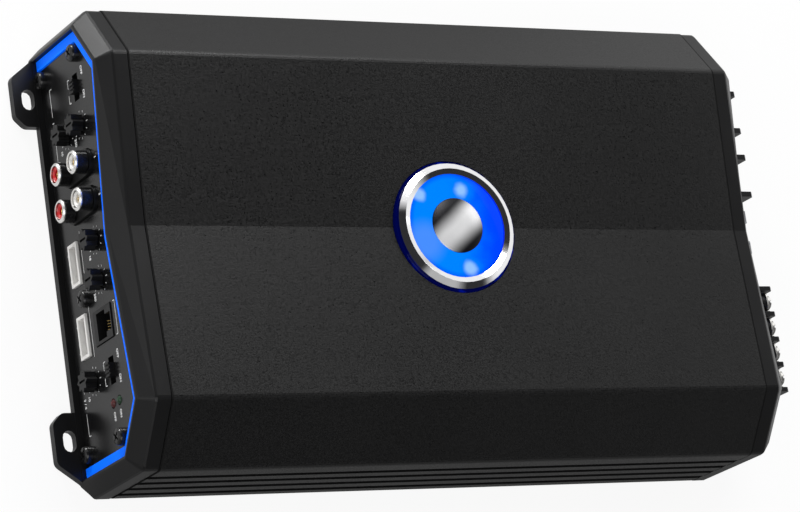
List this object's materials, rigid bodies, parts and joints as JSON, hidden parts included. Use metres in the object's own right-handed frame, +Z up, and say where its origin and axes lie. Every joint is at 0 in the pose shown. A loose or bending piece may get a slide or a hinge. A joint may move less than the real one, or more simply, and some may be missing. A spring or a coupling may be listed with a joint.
{
  "type": "car audio amplifier",
  "caption": "Car audio amplifier with a grooved black case, a valley-shaped top with a round lit emblem, bevelled end frames with slotted feet, rotary and slide controls, jacks and terminals.",
  "frame": {"origin": "under the middle of the case, on the surface that the feet stand on", "axes": "+X along the case towards the wire terminals, +Y across it, +Z up"},
  "size_m": [0.2834, 0.165, 0.0583],
  "materials": {
    "coated_aluminium": "fine-textured black coating",
    "satin_black": "satin black paint on a casting",
    "panel_grey": "satin dark grey with pale print",
    "blue_trim": "translucent blue",
    "blue_lens": "clear blue, lit from below",
    "chrome": "polished",
    "nickel": "bright nickel plate",
    "black_plastic": "moulded black",
    "white_plastic": "moulded white",
    "red_plastic": "moulded red",
    "green_lamp": "clear tinted",
    "red_lamp": "clear tinted",
    "clear_fuse": "clear, faintly grey",
    "board_green": "solder mask",
    "copper_wire": "enamelled copper",
    "zinc_steel": "zinc plated"
  },
  "bodies": {
    "chassis": {"heatsink_shell": "coated_aluminium", "bottom_plate": "zinc_steel", "emblem_lens": "blue_lens", "emblem_ring": "chrome", "emblem_cap": "chrome", "control_end_frame": "satin_black", "control_panel": "panel_grey", "control_trim": "blue_trim", "front_crossover_pot": "zinc_steel", "front_level_pot": "zinc_steel", "bass_boost_pot": "zinc_steel", "rear_crossover_pot": "zinc_steel", "rear_level_pot": "zinc_steel", "front_filter_switch": "zinc_steel", "rear_filter_switch": "zinc_steel", "front_input_block": "black_plastic", "front_right_sleeve": "nickel", "front_right_insert": "red_plastic", "front_left_sleeve": "nickel", "front_left_insert": "white_plastic", "rear_input_block": "black_plastic", "rear_right_sleeve": "nickel", "rear_right_insert": "red_plastic", "rear_left_sleeve": "nickel", "rear_left_insert": "white_plastic", "front_speaker_socket": "white_plastic", "rear_speaker_socket": "white_plastic", "remote_jack": "black_plastic", "protect_lamp": "red_lamp", "power_lamp": "green_lamp", "terminal_end_frame": "satin_black", "terminal_panel": "panel_grey", "terminal_trim": "blue_trim", "power_block": "black_plastic", "speaker_block": "black_plastic", "fuse_holder": "black_plastic", "circuit_board": "board_green", "supply_coil": "copper_wire", "far_transistor_row": "black_plastic", "near_transistor_row": "black_plastic"},
    "front_crossover_knob": {"front_crossover_knob": "black_plastic"},
    "front_level_knob": {"front_level_knob": "black_plastic"},
    "bass_boost_knob": {"bass_boost_knob": "black_plastic"},
    "rear_crossover_knob": {"rear_crossover_knob": "black_plastic"},
    "rear_level_knob": {"rear_level_knob": "black_plastic"},
    "front_filter_lever": {"front_filter_lever": "black_plastic"},
    "rear_filter_lever": {"rear_filter_lever": "black_plastic"},
    "left_fuse": {"left_fuse": "clear_fuse"},
    "right_fuse": {"right_fuse": "clear_fuse"},
    "supply_screw": {"supply_screw": "nickel"},
    "remote_screw": {"remote_screw": "nickel"},
    "ground_screw": {"ground_screw": "nickel"},
    "speaker_lower_screw_1": {"speaker_lower_screw_1": "nickel"},
    "speaker_lower_screw_2": {"speaker_lower_screw_2": "nickel"},
    "speaker_lower_screw_3": {"speaker_lower_screw_3": "nickel"},
    "speaker_lower_screw_4": {"speaker_lower_screw_4": "nickel"},
    "speaker_upper_screw_1": {"speaker_upper_screw_1": "nickel"},
    "speaker_upper_screw_2": {"speaker_upper_screw_2": "nickel"},
    "speaker_upper_screw_3": {"speaker_upper_screw_3": "nickel"},
    "speaker_upper_screw_4": {"speaker_upper_screw_4": "nickel"}
  },
  "joints": [
    {"name": "front_crossover_turn", "type": "hinge", "parent": "chassis", "child": "front_crossover_knob", "pos_m": [-0.1297, 0.04313, 0.03212], "axis": [-1, 0, 0], "range_deg": [-150, 150]},
    {"name": "front_level_turn", "type": "hinge", "parent": "chassis", "child": "front_level_knob", "pos_m": [-0.1297, 0.04313, 0.02031], "axis": [-1, 0, 0], "range_deg": [-150, 150]},
    {"name": "bass_boost_turn", "type": "hinge", "parent": "chassis", "child": "bass_boost_knob", "pos_m": [-0.1297, 0.0016, 0.03191], "axis": [-1, 0, 0], "range_deg": [-150, 150]},
    {"name": "rear_crossover_turn", "type": "hinge", "parent": "chassis", "child": "rear_crossover_knob", "pos_m": [-0.1297, -0.01257, 0.03212], "axis": [-1, 0, 0], "range_deg": [-150, 150]},
    {"name": "rear_level_turn", "type": "hinge", "parent": "chassis", "child": "rear_level_knob", "pos_m": [-0.1297, -0.04481, 0.01781], "axis": [-1, 0, 0], "range_deg": [-150, 150]},
    {"name": "front_filter_slide", "type": "slide", "parent": "chassis", "child": "front_filter_lever", "axis": [0, -1, 0], "range_m": [-0.0021, 0.0021]},
    {"name": "rear_filter_slide", "type": "slide", "parent": "chassis", "child": "rear_filter_lever", "axis": [0, -1, 0], "range_m": [-0.0021, 0.0021]},
    {"name": "left_fuse_pull", "type": "slide", "parent": "chassis", "child": "left_fuse", "axis": [1, 0, 0], "range_m": [0, 0.012]},
    {"name": "right_fuse_pull", "type": "slide", "parent": "chassis", "child": "right_fuse", "axis": [1, 0, 0], "range_m": [0, 0.012]},
    {"name": "supply_screw_turn", "type": "hinge", "parent": "chassis", "child": "supply_screw", "pos_m": [0.1332, 0.02583, 0.0323], "axis": [1, 0, 0], "continuous": true},
    {"name": "remote_screw_turn", "type": "hinge", "parent": "chassis", "child": "remote_screw", "pos_m": [0.1332, 0.03848, 0.0323], "axis": [1, 0, 0], "continuous": true},
    {"name": "ground_screw_turn", "type": "hinge", "parent": "chassis", "child": "ground_screw", "pos_m": [0.1332, 0.05113, 0.0323], "axis": [1, 0, 0], "continuous": true},
    {"name": "speaker_lower_screw_1_turn", "type": "hinge", "parent": "chassis", "child": "speaker_lower_screw_1", "pos_m": [0.1332, -0.05292, 0.0097], "axis": [1, 0, 0], "continuous": true},
    {"name": "speaker_lower_screw_2_turn", "type": "hinge", "parent": "chassis", "child": "speaker_lower_screw_2", "pos_m": [0.1332, -0.04314, 0.0097], "axis": [1, 0, 0], "continuous": true},
    {"name": "speaker_lower_screw_3_turn", "type": "hinge", "parent": "chassis", "child": "speaker_lower_screw_3", "pos_m": [0.1332, -0.03336, 0.0097], "axis": [1, 0, 0], "continuous": true},
    {"name": "speaker_lower_screw_4_turn", "type": "hinge", "parent": "chassis", "child": "speaker_lower_screw_4", "pos_m": [0.1332, -0.02358, 0.0097], "axis": [1, 0, 0], "continuous": true},
    {"name": "speaker_upper_screw_1_turn", "type": "hinge", "parent": "chassis", "child": "speaker_upper_screw_1", "pos_m": [0.1332, -0.05292, 0.0383], "axis": [1, 0, 0], "continuous": true},
    {"name": "speaker_upper_screw_2_turn", "type": "hinge", "parent": "chassis", "child": "speaker_upper_screw_2", "pos_m": [0.1332, -0.04314, 0.0383], "axis": [1, 0, 0], "continuous": true},
    {"name": "speaker_upper_screw_3_turn", "type": "hinge", "parent": "chassis", "child": "speaker_upper_screw_3", "pos_m": [0.1332, -0.03336, 0.0383], "axis": [1, 0, 0], "continuous": true},
    {"name": "speaker_upper_screw_4_turn", "type": "hinge", "parent": "chassis", "child": "speaker_upper_screw_4", "pos_m": [0.1332, -0.02358, 0.0383], "axis": [1, 0, 0], "continuous": true}
  ]
}
